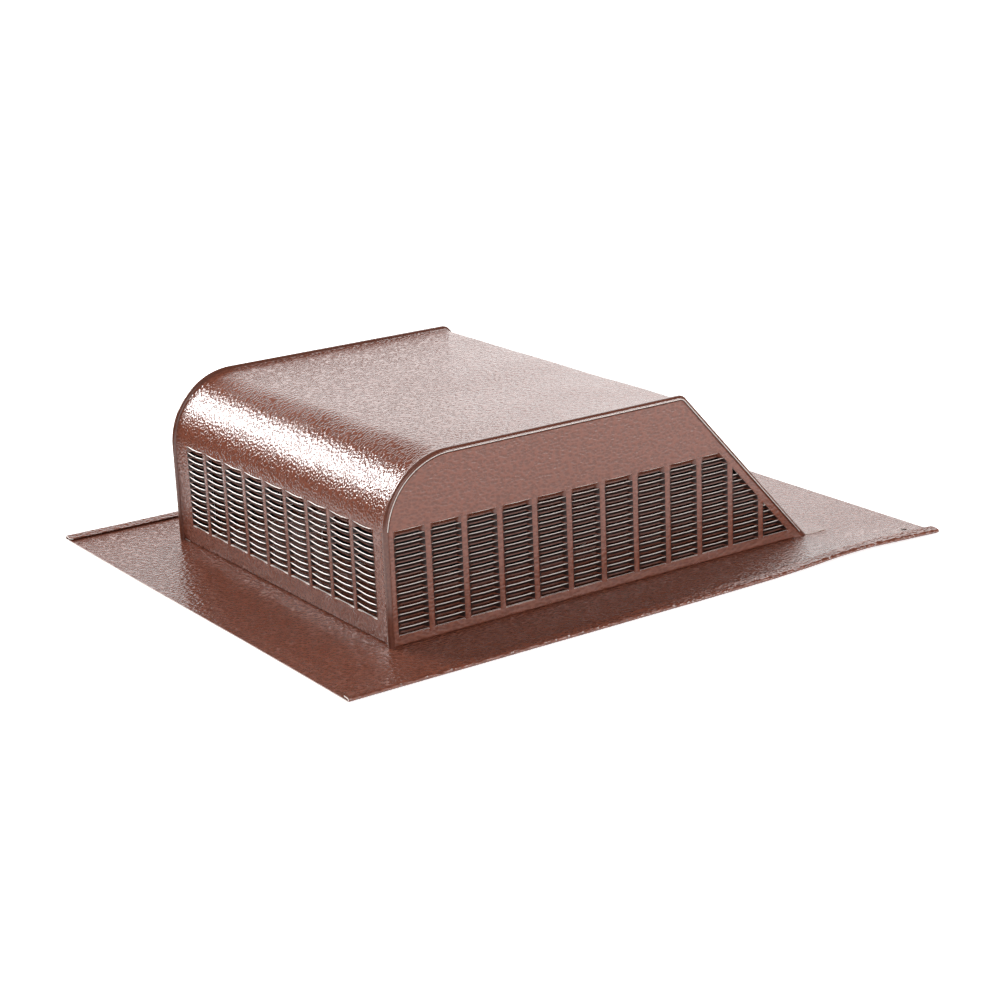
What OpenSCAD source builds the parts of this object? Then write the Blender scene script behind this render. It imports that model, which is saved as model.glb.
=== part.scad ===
// Slant-back static roof vent: a louvred sheet-metal hood on a flat roof flashing.
// The front with its louvres faces -Y, X runs across the roof, and Z is up from the roof deck.
// The origin is at the middle of the flashing's underside.

/* [Flashing] */
// Width of the flashing over its two hems
base_w = 418; // [390:1:480]
// Length of the flashing up the roof
base_l = 498; // [470:1:560]
// Thickness of every sheet
sheet_t = 0.8; // [0.6:0.1:1]
// Radius of the round throat that the attic air comes through
throat_r = 101.6; // [80:0.1:110]
// Height of the collar turned up around the throat, above the roof deck
collar_h = 14; // [8:1:25]
// Distance from the hood's front to the middle of the throat
throat_from_front = 155; // [125:1:165]
// Inner bend radius where the collar leaves the flashing
collar_bend_r = 2; // [1:0.5:4]
// Height of the open hem along each long edge
hem_h = 5; // [4:0.5:7]
// Width of the open hem along each long edge
hem_w = 10; // [8:0.5:14]
// Angle at which the hem's free edge dips towards the flashing
hem_dip = 8; // [0:1:10]
// Diameter of each nail hole
nail_hole_d = 5; // [3:0.5:8]
// Distance from the flashing's side edge to a nail hole
nail_from_side = 20; // [18:1:35]
// Distance from the flashing's rear edge to a nail hole
nail_from_rear = 16; // [8:1:40]

/* [Hood] */
// Width of the hood over its side panels
hood_w = 300; // [280:1:340]
// Length of the hood at the flashing
hood_l = 357; // [345:1:380]
// Height of the hood's rims above the roof deck
hood_h = 126; // [115:1:140]
// Distance from the flashing's front edge to the hood
hood_from_front = 66; // [40:1:85]
// Bend radius between the front and the top, at the rims
nose_r = 52.5; // [40:0.5:60]
// Length of the rims from the hood's front to the end of the level top
level_l = 244.5; // [230:0.5:255]
// Bend radius between the top and the slanted back, at the rims
ridge_r = 8; // [6:0.5:14]
// Length of the foot of the slanted back, lying on the flashing
foot_l = 19; // [12:1:30]
// Width of the flanges turned in under the hood
flange_w = 10; // [6:0.5:14]

/* [Seams] */
// Outer radius of the rolled seam along each rim
roll_r = 2.4; // [2.2:0.1:2.8]
// Height of the rolled seam above the front, top and slanted back
rim_stand = 3; // [2.8:0.1:3.6]
// How far the rolled seam stands proud of the side panel
roll_proud = 0.6; // [0.4:0.1:0.8]
// Clearance between the sheets inside a seam
seam_gap = 0.2; // [0.1:0.05:0.3]

/* [Louvres] */
// Height of one louvre row, and width of each lanced strip
row_pitch = 4.7; // [4.2:0.1:4.9]
// Angle at which each strip leans in from the panel
strip_lean = 40; // [30:1:50]
// Rows of louvres in a side panel
side_rows = 15; // [10:1:15]
// Columns of louvres in a side panel
side_columns = 12; // [9:1:12]
// Distance between columns in a side panel
side_pitch = 28; // [27:0.5:29]
// Width of one column in a side panel
side_column_w = 23.2; // [18:0.1:25]
// Distance from the hood's front to the first side column
side_first = 7.5; // [6.5:0.5:12]
// Height of the side windows' lower edge above the flashing
side_sill = 7.4; // [5:0.1:12]
// Width of the plain border between the side windows and the slanted rim
side_border = 8.5; // [7:0.5:14]
// Rows of louvres in the front
front_rows = 13; // [9:1:13]
// Columns of louvres in the front
front_columns = 9; // [6:1:9]
// Distance between columns in the front
front_pitch = 29.6; // [28:0.1:31]
// Width of one column in the front
front_column_w = 24.8; // [20:0.1:26]
// Height of the front windows' lower edge above the flashing
front_sill = 14.8; // [8:0.1:18]

/* [Hidden] */
$fn = 96;
paint = "#7a4636";
eps = 0.01;
// How far a cutting tool runs past the sheet that it cuts
margin = 1;
// How far each strip's cut edge lies behind the panel's outer face
strip_set = 0.1;

// Level of the flashing's top face, where the hood stands
deck = sheet_t;
hood_front = hood_from_front - base_l / 2;
rim_h = hood_h - deck;
side_face = hood_w / 2;
panel_in = side_face - sheet_t;

// The slanted rim runs from the level top down to the hood's rear foot
slant = atan(rim_h / (hood_l - level_l));
slant_dir = [cos(slant), -sin(slant)];

// Centre line of the rolled seam, and the captured upstand beside it
roll_x = side_face + roll_proud - roll_r;
roll_bore = roll_r - sheet_t;
upstand_x = roll_x - roll_bore + seam_gap;
upstand_top = hundredth(roll_r - sqrt(pow(roll_bore - seam_gap / 2, 2) - pow(roll_bore - seam_gap, 2)));
// Depth below the rim at which the side panel's sheet runs into the roll
panel_top = hundredth(roll_r + sqrt(pow(roll_bore, 2) - pow(panel_in - roll_x, 2)));

// A depth below the rim, rounded so that the bends it sets meet their straight runs
function hundredth(depth) = round(100 * depth) / 100;

// The side panel's foot flange stops short of the front flange and of the slanted back
side_flange_start = 2 * flange_w;
side_flange_end = hood_l - 4 * flange_w;

function front_run() = (front_columns - 1) * front_pitch + front_column_w;

// The sharp ridge corner moved in by d, the tangent length of its bend there, and the slanted foot
function ridge_point(d) = [
    level_l - d * tan(slant / 2),
    rim_h - d
];
function ridge_cut(d) = (ridge_r - d) * tan(slant / 2);
function foot_point(d) = hood_l - d / sin(slant);

// Lays a drawing of the hood's side (x along the hood, y up) across the hood from x0 to x1
module across(x0, x1) {
    translate([x0, hood_front, deck])
        rotate([90, 0, 90])
            linear_extrude(x1 - x0)
                children();
}

// Lays a drawing of a cross-section (x across, y up) along the hood from y0 to y1
module along(y0, y1) {
    translate([0, y1, 0])
        rotate([90, 0, 0])
            linear_extrude(y1 - y0)
                children();
}

// Outline of the hood seen from the side, with every rim moved in by d
module outline(d) {
    corner = ridge_point(d);
    bend = max(ridge_r - d, 0);
    cut = ridge_cut(d);
    centre = [corner[0] - cut, corner[1] - bend];
    polygon([
        [d, 0],
        [d, rim_h - nose_r],
        [nose_r, rim_h - nose_r],
        [nose_r, rim_h - d],
        [corner[0] - cut, corner[1]],
        centre,
        [corner[0] + cut * slant_dir[0], corner[1] + cut * slant_dir[1]],
        [foot_point(d), 0]
    ]);
    translate([nose_r, rim_h - nose_r])
        circle(nose_r - d);
    translate(centre)
        circle(max(bend, eps));
}

// Band of the hood's outline between two depths below the rims
module band(d0, d1) {
    difference() {
        outline(d0);
        outline(d1);
    }
}

// Cross-section of one lanced strip, leaning in from its outer top corner at the origin
module strip_section() {
    rotate(strip_lean)
        translate([0, -row_pitch])
            square([sheet_t, row_pitch]);
}

// Openings of the side panel, a little short at the head and with a border beside the slanted rim
module side_windows() {
    intersection() {
        for (column = [0 : side_columns - 1])
            translate([side_first + column * side_pitch, side_sill])
                square([side_column_w, side_rows * row_pitch - sheet_t]);
        slant_side(side_border);
    }
}

// All that lies below and in front of the slanted rim, with that rim moved in by d
module slant_side(d) {
    polygon([
        [0, 0],
        [foot_point(d), 0],
        [foot_point(d) - rim_h / tan(slant), rim_h],
        [0, rim_h]
    ]);
}

// Cross-section of the rolled seam: x across, y up from the rim, drawn for the right-hand rim
module roll_section() {
    translate([roll_x, -roll_r])
        difference() {
            circle(roll_r);
            circle(roll_bore);
            translate([-roll_r - eps, -roll_r - eps])
                square([roll_r + eps + panel_in - roll_x, roll_r + eps]);
        }
    translate([roll_x - roll_r, seam_gap - rim_stand])
        square([sheet_t, rim_stand - roll_r - seam_gap + eps]);
}

// The rolled seam's cross-section set at a bend's radius, with its height above the rim pointing out
module roll_turn(radius) {
    translate([radius, 0])
        mirror([0, 1])
            rotate(-90)
                roll_section();
}

// A bend of the rolled seam about the point p, swept from the vertical: forwards where sweep is positive
module roll_bend(p, radius, sweep) {
    translate([0, p[0], p[1]])
        rotate([0, 90, 0])
            rotate([0, 0, 180])
                rotate_extrude(angle = sweep)
                    roll_turn(radius);
}

// The rolled seam, run up the front, over the nose, along the top and down the slant
module rolled_seam() {
    level_end = level_l - ridge_cut(0);
    slant_l = rim_h / sin(slant);
    translate([0, hood_front, deck])
        difference() {
            union() {
                linear_extrude(rim_h - nose_r)
                    mirror([0, 1])
                        roll_section();
                roll_bend([nose_r, rim_h - nose_r], nose_r, 90);
                translate([0, level_end, rim_h])
                    rotate([90, 0, 0])
                        linear_extrude(level_end - nose_r)
                            roll_section();
                roll_bend([level_end, rim_h - ridge_r], ridge_r, -slant);
                translate([0, level_l, rim_h])
                    rotate([-slant, 0, 0])
                        translate([0, slant_l, 0])
                            rotate([90, 0, 0])
                                linear_extrude(slant_l - ridge_cut(0))
                                    roll_section();
            }
            translate([0, 0, -base_l])
                cube(base_l);
        }
}

module base_flashing() {
    throat_y = hood_front + throat_from_front;
    color(paint) {
        difference() {
            union() {
                translate([hem_h / 2 - base_w / 2, -base_l / 2, 0])
                    cube([base_w - hem_h, base_l, sheet_t]);
                side_hem();
                mirror([1, 0, 0])
                    side_hem();
            }
            translate([0, throat_y, -margin])
                cylinder(r = throat_r + sheet_t + collar_bend_r, h = sheet_t + 2 * margin);
            for (side = [-1, 1])
                translate([side * (base_w / 2 - nail_from_side), base_l / 2 - nail_from_rear, -margin])
                    cylinder(d = nail_hole_d, h = sheet_t + 2 * margin);
        }
        translate([0, throat_y, 0])
            rotate_extrude()
                collar_section();
    }
}

// The open hem along the right-hand edge, folded up and back over the flashing
module side_hem() {
    hem_r = hem_h / 2;
    along(-base_l / 2, base_l / 2)
        translate([base_w / 2 - hem_r, hem_r]) {
            difference() {
                circle(hem_r);
                circle(hem_r - sheet_t);
                translate([-hem_h, -hem_h])
                    square(hem_h);
                rotate(hem_dip)
                    translate([-hem_h, 0])
                        square(hem_h);
            }
            rotate(hem_dip)
                translate([-(hem_w - hem_r), hem_r - sheet_t])
                    square([hem_w - hem_r, sheet_t]);
        }
}

// Cross-section of the collar: the flashing turned up to stand round the throat
module collar_section() {
    outer = throat_r + sheet_t;
    translate([outer + collar_bend_r, 0])
        mirror([1, 0])
            intersection() {
                translate([0, sheet_t + collar_bend_r])
                    difference() {
                        circle(collar_bend_r + sheet_t);
                        circle(collar_bend_r);
                    }
                square(collar_bend_r + sheet_t);
            }
    translate([throat_r, sheet_t + collar_bend_r])
        square([sheet_t, collar_h - sheet_t - collar_bend_r]);
}

module hood_wrap() {
    edge = upstand_x + sheet_t;
    front_in = rim_stand + sheet_t;
    foot_in = roll_x - roll_r - seam_gap;
    color(paint) {
        difference() {
            across(-edge, edge)
                band(rim_stand, front_in);
            front_windows();
        }
        for (x = [-edge, upstand_x])
            across(x, x + sheet_t)
                band(upstand_top, front_in);
        front_louvres();
        across(-edge, edge)
            translate([rim_stand + eps, 0])
                square([flange_w, sheet_t]);
        across(-foot_in, foot_in)
            translate([foot_point(front_in), 0])
                square([foot_l + hood_l - foot_point(front_in), sheet_t]);
        across(-side_face, side_face)
            translate([hood_l + seam_gap, 0])
                square([foot_l - seam_gap, sheet_t]);
    }
}

// Openings of the front, cut a little short at the head, where the first strip is joined on
module front_windows() {
    for (column = [0 : front_columns - 1])
        translate([
            column * front_pitch - front_run() / 2,
            hood_front + rim_stand - margin,
            deck + front_sill
        ])
            cube([front_column_w, sheet_t + 2 * margin, front_rows * row_pitch - sheet_t]);
}

module front_louvres() {
    for (column = [0 : front_columns - 1])
        translate([column * front_pitch - front_run() / 2 - sheet_t / 2, rim_stand + strip_set, 0])
            across(0, front_column_w + sheet_t)
                for (row = [1 : front_rows])
                    translate([0, front_sill + row * row_pitch])
                        strip_section();
}

module right_side_panel() {
    color(paint) {
        across(panel_in, side_face)
            difference() {
                outline(panel_top);
                side_windows();
            }
        intersection() {
            across(side_face - row_pitch, side_face)
                slant_side(side_border - sheet_t / 2);
            for (column = [0 : side_columns - 1], row = [1 : side_rows])
                side_louvre(side_first + column * side_pitch, side_sill + row * row_pitch);
        }
        rolled_seam();
        translate([side_face - flange_w, hood_front + side_flange_start, deck])
            cube([flange_w - sheet_t + eps, side_flange_end - side_flange_start, sheet_t]);
    }
}

// One strip of the right-hand side panel, left out where the slanted border leaves no room for it
module side_louvre(start, head) {
    room = foot_point(side_border) - head / tan(slant) - start;
    if (room > 2 * sheet_t)
        translate([side_face - strip_set, hood_front, deck + head])
            mirror([1, 0, 0])
                along(start - sheet_t / 2, start + side_column_w + sheet_t / 2)
                    strip_section();
}

module left_side_panel() {
    mirror([1, 0, 0])
        right_side_panel();
}

base_flashing();
hood_wrap();
left_side_panel();
right_side_panel();
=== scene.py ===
import math

import bpy
import numpy as np
from bpy.props import FloatProperty, FloatVectorProperty, IntProperty, PointerProperty
from mathutils import Matrix, Vector, noise
from mathutils.geometry import delaunay_2d_cdt


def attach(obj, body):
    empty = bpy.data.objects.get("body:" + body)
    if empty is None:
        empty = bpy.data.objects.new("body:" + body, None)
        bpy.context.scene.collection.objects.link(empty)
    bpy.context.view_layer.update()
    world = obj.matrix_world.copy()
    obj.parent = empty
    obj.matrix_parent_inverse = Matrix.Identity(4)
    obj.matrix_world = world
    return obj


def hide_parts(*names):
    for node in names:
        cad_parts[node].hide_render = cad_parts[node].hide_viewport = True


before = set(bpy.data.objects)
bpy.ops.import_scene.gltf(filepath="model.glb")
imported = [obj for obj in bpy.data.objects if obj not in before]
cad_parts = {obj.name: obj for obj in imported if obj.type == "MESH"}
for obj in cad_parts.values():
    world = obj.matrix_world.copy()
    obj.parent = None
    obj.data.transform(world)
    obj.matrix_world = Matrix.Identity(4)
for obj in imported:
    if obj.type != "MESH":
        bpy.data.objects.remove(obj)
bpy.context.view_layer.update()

bl_info = {
    "name": "Slant-back roof vent",
    "version": (1, 0, 0),
    "blender": (4, 5, 0),
    "location": "View3D > Sidebar > Roof Vent",
    "description": "Builds a louvred sheet-metal roof vent over its packed solids and lights it",
    "category": "Object",
}

MM = 0.001
# Finish numbers: the third and fourth are painted shade, the fifth is partly painted shade, and the second also serves
# as a painted highlight
PAINT, EDGE, PAINTED_SHADE, BACKER_SHADE, ROLLED_SHADE = 0, 1, 2, 3, 4


def linear(hex_colour, alpha=1.0):
    """An sRGB hex colour as linear red, green, blue and alpha."""
    parts = [int(hex_colour[i : i + 2], 16) / 255 for i in (1, 3, 5)]
    return [c / 12.92 if c <= 0.04045 else ((c + 0.055) / 1.055) ** 2.4 for c in parts] + [alpha]


def smooth(t):
    """A soft step from 0 to 1."""
    t = min(max(t, 0.0), 1.0)
    return t * t * (3 - 2 * t)


def length(name, description, millimetres):
    """A length property whose default is given in millimetres."""
    return FloatProperty(
        name=name, description=description, default=millimetres * MM, min=0.0, unit="LENGTH", precision=4
    )


class RoofVentFlashing(bpy.types.PropertyGroup):
    """Sizes of the flashing, its hems and its throat."""

    width: length("Width", "Width over the two hems", 418)
    length: length("Length", "Length up the roof", 498)
    thickness: length("Sheet", "Thickness of the sheet", 0.8)
    throat_radius: length("Throat radius", "Radius of the round throat", 101.6)
    throat_from_front: length("Throat place", "From the hood's front to the middle of the throat", 155)
    collar_height: length("Collar height", "Height of the collar above the roof deck", 14)
    hem_height: length("Hem height", "Height of the open hem", 5)
    hem_width: length("Hem width", "Width of the open hem", 10)
    nail_hole: length("Nail hole", "Diameter of a nail hole", 5)
    hump: length("Hump", "Height of the hump that handling left in the right-hand edge", 4.0)
    wave: length("Wave", "Height of the soft waves in the sheet", 0.15)


class RoofVentHood(bpy.types.PropertyGroup):
    """Sizes of the hood, its bends and its seams."""

    width: length("Width", "Width over the side panels", 300)
    length: length("Length", "Length at the flashing", 357)
    height: length("Height", "Height of the rims above the roof deck", 126)
    front: length("Front place", "From the flashing's front edge to the hood", 66)
    nose_radius: length("Nose radius", "Bend radius between the front and the top, at the rims", 52.5)
    level_length: length("Level length", "From the hood's front to the end of the level top", 244.5)
    ridge_radius: length("Ridge radius", "Bend radius at the ridge, at the rims", 8)
    foot_length: length("Foot length", "Length of the foot that lies on the flashing", 19)
    rim_stand: length("Rim stand", "Height of the rolled seams above the wrap", 3)
    roll_radius: length("Roll radius", "Outer radius of the rolled seams", 2.4)
    roll_proud: length("Roll proud", "How far a rolled seam stands proud of its side panel", 0.6)
    flange: length("Flange", "Width of the flanges turned in under the hood", 10)


class RoofVentLouvres(bpy.types.PropertyGroup):
    """Sizes of the lanced strips."""

    pitch: length("Row pitch", "Height of one row", 4.7)
    lean: FloatProperty(
        name="Lean", description="How far a strip leans in at its middle", default=math.radians(42), unit="ROTATION"
    )
    lip: length("Lip", "Height of the upright lip along a strip's lower edge", 0.9)
    twist: length("Twist", "Length over which a strip twists back to its bar", 3.2)
    front_sag: length("Front sag", "How far a front strip's middle sags below its ends", 1.05)
    side_sag: length("Side sag", "How far a side strip's middle sags below its ends", 0.3)
    front_rows: IntProperty(name="Front rows", description="Rows of strips in the front", default=13, min=1)
    front_columns: IntProperty(name="Front columns", description="Columns in the front", default=9, min=1)
    front_pitch: length("Front column pitch", "Distance between columns in the front", 29.6)
    front_width: length("Front column width", "Width of a column in the front", 24.8)
    front_sill: length("Front sill", "Height of the front windows above the flashing", 14.8)
    side_rows: IntProperty(name="Side rows", description="Rows of strips in a side panel", default=15, min=1)
    side_columns: IntProperty(name="Side columns", description="Columns in a side panel", default=12, min=1)
    side_pitch: length("Side column pitch", "Distance between columns in a side panel", 28)
    side_width: length("Side column width", "Width of a column in a side panel", 23.2)
    side_first: length("First side column", "From the hood's front to the first side column", 7.5)
    side_sill: length("Side sill", "Height of the side windows above the flashing", 7.4)
    side_border: length("Side border", "Plain border beside the slanted rim", 8.5)


class RoofVentFinish(bpy.types.PropertyGroup):
    """Colours and surface of the sheet metal."""

    paint: FloatVectorProperty(
        name="Paint", description="Brown enamel", subtype="COLOR", size=4, default=linear("#7a4636")
    )
    # Painted shade: the dark enamel colour laid into the emboss pits, between the mounds and over the rolled enamel
    paint_shade: FloatVectorProperty(
        name="Paint in hollows", description="Enamel where it lies thicker", subtype="COLOR", size=4,
        default=linear("#3f2118"),
    )
    # Also the colour of the pale bead along the seams, a painted highlight
    zinc: FloatVectorProperty(
        name="Cut edge", description="Bare sheared edge of the galvanised sheet", subtype="COLOR", size=4,
        default=linear("#f4e8e2"),
    )
    # Painted shade: the near-black colour of the louvre strips' outer faces and of the crease under the seams' bead
    lanced: FloatVectorProperty(
        name="Lanced paint", description="Enamel dulled where the strips were lanced", subtype="COLOR", size=4,
        default=linear("#24130f"),
    )
    # Painted shade: the sheets' inner coat is painted near-black for the shade inside the hood
    backer_painted_shade: FloatVectorProperty(
        name="Backer coat", description="Thin dark coat on the sheet's inner side", subtype="COLOR", size=4,
        default=linear("#140f0d"),
    )
    emboss_cell: length("Emboss cell", "Size of one cell of the stucco emboss", 1.9)
    emboss_depth: length("Emboss depth", "Depth of the stucco emboss", 0.24)


class RoofVentStage(bpy.types.PropertyGroup):
    """Camera, lamps and floor."""

    floor: FloatVectorProperty(
        name="Floor", description="Pale studio floor", subtype="COLOR", size=4, default=linear("#f2f2f2")
    )
    lens: FloatProperty(name="Lens", description="Focal length in mm on a 36 mm sensor", default=79.87)
    azimuth: FloatProperty(
        name="Azimuth", description="Camera angle round the vent from its front", default=math.radians(56.2194),
        unit="ROTATION",
    )
    elevation: FloatProperty(
        name="Elevation", description="Camera angle above the deck", default=math.radians(17.2137), unit="ROTATION"
    )
    roll: FloatProperty(name="Roll", description="Camera roll", default=math.radians(-2.3835), unit="ROTATION")
    distance: length("Distance", "From the camera to the vent", 1610.78)
    aim_right: FloatProperty(name="Aim right", description="Sideways aim", default=33.966 * MM, unit="LENGTH")
    aim_down: FloatProperty(name="Aim down", description="Downward aim", default=-14.813 * MM, unit="LENGTH")
    key: FloatProperty(name="Key", description="Power of the left softbox in watts", default=68.0, min=0.0)
    top: FloatProperty(name="Top", description="Power of the overhead softbox in watts", default=1.5, min=0.0)
    fill: FloatProperty(name="Fill", description="Power of the softbox beside the camera in watts", default=14.0, min=0.0)
    hair: FloatProperty(name="Hair", description="Power of the softbox high behind in watts", default=8.0, min=0.0)
    right: FloatProperty(name="Right", description="Power of the right-hand softbox in watts", default=14.0, min=0.0)
    rear: FloatProperty(name="Rear", description="Power of the white panel behind on the left", default=14.0, min=0.0)
    ambient: FloatProperty(name="Ambient", description="Strength of the even room light", default=0.5, min=0.0)


class Sheetwork:
    """Gathers the thin sheets of one piece as points, faces and finishes."""

    def __init__(self):
        self.points = []
        self.faces = []
        self.finishes = []

    def add(self, points, faces, finishes):
        """Adds loose faces with a finish each."""
        base = len(self.points)
        self.points.extend(tuple(p) for p in points)
        self.faces.extend(tuple(base + i for i in f) for f in faces)
        self.finishes.extend(finishes)

    def sheet(self, points, normals, faces, thickness, back=PAINT):
        """Adds a face pattern as a closed sheet: its outer side, its inner side, and its cut edges."""
        outer = np.asarray(points, float)
        inner = outer - np.asarray(normals, float) * thickness
        count = len(outer)
        directed = {}
        for f in faces:
            for a, b in zip(f, f[1:] + f[:1]):
                directed[(a, b)] = True
        walls = [(b, a, a + count, b + count) for (a, b) in directed if (b, a) not in directed]
        backs = [tuple(count + i for i in reversed(f)) for f in faces]
        self.add(
            np.vstack([outer, inner]),
            [tuple(f) for f in faces] + backs + walls,
            [PAINT] * len(faces) + [back] * len(faces) + [EDGE] * len(walls),
        )

    def mirrored(self):
        """The same sheetwork mirrored across the vent's middle plane."""
        twin = Sheetwork()
        twin.points = [(-x, y, z) for x, y, z in self.points]
        twin.faces = [tuple(reversed(f)) for f in self.faces]
        twin.finishes = list(self.finishes)
        return twin

    def build(self, name, materials, stands_for, slot):
        """Makes the Blender object and ties it to the frame."""
        mesh = bpy.data.meshes.new(name)
        mesh.from_pydata(self.points, [], self.faces)
        mesh.update()
        for m in materials:
            mesh.materials.append(m)
        mesh.polygons.foreach_set("material_index", self.finishes)
        mesh.polygons.foreach_set("use_smooth", [True] * len(mesh.polygons))
        mesh.set_sharp_from_angle(angle=math.radians(32))
        mesh.validate()
        piece = bpy.data.objects.new(name, mesh)
        bpy.context.scene.collection.objects.link(piece)
        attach(piece, "root")
        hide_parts(stands_for)
        return piece


class Side:
    """The hood's side outline in millimetres: p runs back from the hood's front, z up from the roof deck."""

    def __init__(self, hood, sheet):
        self.deck = sheet / MM
        self.top = hood.height / MM
        self.long = hood.length / MM
        self.nose = hood.nose_radius / MM
        self.level = hood.level_length / MM
        self.ridge = hood.ridge_radius / MM
        self.slant = math.atan2(self.top - self.deck, self.long - self.level)
        self.cut = self.ridge * math.tan(self.slant / 2)
        self.nose_z = self.top - self.nose
        self.ridge_p = self.level - self.cut
        self.ridge_z = self.top - self.ridge

    def foot(self, d):
        """Where the slanted outline, moved in by d, meets the deck."""
        return self.long - d / math.sin(self.slant)

    def rim_z(self, p, d):
        """Height of the outline, moved in by d, above the point p."""
        if p <= self.nose:
            return self.nose_z + math.sqrt(max((self.nose - d) ** 2 - (self.nose - p) ** 2, 0.0))
        if p <= self.ridge_p:
            return self.top - d
        if p <= self.ridge_p + (self.ridge - d) * math.sin(self.slant):
            return self.ridge_z + math.sqrt(max((self.ridge - d) ** 2 - (p - self.ridge_p) ** 2, 0.0))
        return max(self.deck + (self.foot(d) - p) * math.tan(self.slant), self.deck)

    def rim(self):
        """Samples of the rim as (p, z, outward p, outward z)."""
        out = [(0.0, z, -1.0, 0.0) for z in np.linspace(self.deck, self.nose_z, 10)[:-1]]
        for a in np.linspace(math.pi, math.pi / 2, 27):
            out.append((self.nose + self.nose * math.cos(a), self.nose_z + self.nose * math.sin(a), math.cos(a), math.sin(a)))
        out += [(p, self.top, 0.0, 1.0) for p in np.linspace(self.nose, self.ridge_p, 26)[1:-1]]
        for a in np.linspace(math.pi / 2, math.pi / 2 - self.slant, 9):
            out.append((self.ridge_p + self.ridge * math.cos(a), self.ridge_z + self.ridge * math.sin(a), math.cos(a), math.sin(a)))
        p0, z0, np_, nz = out[-1]
        for t in np.linspace(0, 1, 22)[1:]:
            out.append((p0 + (self.long - p0) * t, z0 + (self.deck - z0) * t, np_, nz))
        return out


def wrap_profile(side, stand, flange, foot_length, sill, head, rows):
    """Samples of the wrap's outer face from the front flange to the foot, as (p, z, outward p, outward z)."""
    bend, foot_bend = 1.6, 2.2
    sheet = side.deck
    out = [(p, sheet, 0.0, -1.0) for p in np.linspace(stand + flange, stand + bend, 4)[:-1]]
    for a in np.linspace(1.5 * math.pi, math.pi, 6):
        out.append((stand + bend + bend * math.cos(a), sheet + bend + bend * math.sin(a), math.cos(a), math.sin(a)))
    lower = np.linspace(out[-1][1], sill, 4)[1:]
    middle = np.linspace(sill, side.nose_z, rows + 1)[1:]
    out += [(stand, z, -1.0, 0.0) for z in list(lower) + list(middle)]
    radius = side.nose - stand
    head_turn = math.asin((head - side.nose_z) / radius)
    turns = [head_turn] + list(np.linspace(head_turn, math.pi / 2, 30)[1:])
    for t in turns:
        a = math.pi - t
        out.append((side.nose + radius * math.cos(a), side.nose_z + radius * math.sin(a), math.cos(a), math.sin(a)))
    out += [(p, side.top - stand, 0.0, 1.0) for p in np.linspace(side.nose, side.ridge_p, 28)[1:-1]]
    radius = side.ridge - stand
    for a in np.linspace(math.pi / 2, math.pi / 2 - side.slant, 8):
        out.append((side.ridge_p + radius * math.cos(a), side.ridge_z + radius * math.sin(a), math.cos(a), math.sin(a)))
    p0, z0, np_, nz = out[-1]
    run = foot_bend * math.tan(side.slant / 2)
    foot_z = 2 * sheet
    p_end = side.foot(stand) - (foot_z - sheet) / math.tan(side.slant)
    p1, z1 = p_end - run * math.cos(side.slant), foot_z + run * math.sin(side.slant)
    for t in np.linspace(0, 1, 24)[1:]:
        out.append((p0 + (p1 - p0) * t, z0 + (z1 - z0) * t, np_, nz))
    for a in np.linspace(-math.pi / 2 - side.slant, -math.pi / 2, 6)[1:]:
        out.append((p_end + run + foot_bend * math.cos(a), foot_z + foot_bend + foot_bend * math.sin(a), -math.cos(a), -math.sin(a)))
    out += [(p, foot_z, 0.0, 1.0) for p in np.linspace(p_end + run, side.long + foot_length, 4)[1:]]
    return out


def ripple(p, q, scale, seed):
    """Soft waviness of a sheet between -1 and 1."""
    return noise.noise(Vector((p / scale, q / scale, seed)))


def strip(sheetwork, place, start, ends, head, height, thickness, lean, lip, twist, sag, face=PAINTED_SHADE):
    """Adds one lanced strip: flat at its two ends, leaning in at its middle down to an upright lip, and sagging.

    place(a, z, depth) puts a point of the panel's drawing in the vent. ends(z) is where the strip stops at the height z.
    """
    full = ends(head) - start
    turn = min(twist, full * 0.32)
    stops = [0, 0.12 * turn, 0.35 * turn, 0.6 * turn, 0.82 * turn, turn]
    inner = list(np.linspace(turn, full - turn, 4))[1:-1]
    stops = stops + inner + [full - s for s in reversed(stops)]
    rings = []
    for s in stops:
        f = s / full
        angle = lean * smooth(min(s, full - s) / turn)
        drop = sag * (1 - (2 * f - 1) ** 2)
        down, into = math.cos(angle), math.sin(angle)
        knee = ((height - lip) * down, (height - lip) * into)
        foot = (knee[0] + lip, knee[1])
        section = [
            (0.0, 0.0), knee, foot, (foot[0], foot[1] + thickness),
            (knee[0] - thickness * into * 0.5, knee[1] + thickness), (-thickness * into, thickness * down),
        ]
        ring = []
        for below, depth in section:
            a = start + (ends(head - below) - start) * f
            ring.append(place(a, head - drop - below, depth))
        rings.append(ring)
    size = len(rings[0])
    points = [p for ring in rings for p in ring]
    # The outer face and the lip are painted shade, the inner faces take the near-black painted shade of the inner coat,
    # and the cut edges are bare zinc
    sides = [face, ROLLED_SHADE, EDGE, BACKER_SHADE, BACKER_SHADE, EDGE]
    faces, finishes = [], []
    for k in range(len(rings) - 1):
        for i in range(size):
            j = (i + 1) % size
            faces.append((size * k + j, size * k + i, size * (k + 1) + i, size * (k + 1) + j))
            finishes.append(sides[i])
    last = size * (len(rings) - 1)
    faces += [tuple(range(size)), tuple(last + i for i in reversed(range(size)))]
    finishes += [PAINT, PAINT]
    sheetwork.add(points, faces, finishes)


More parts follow.
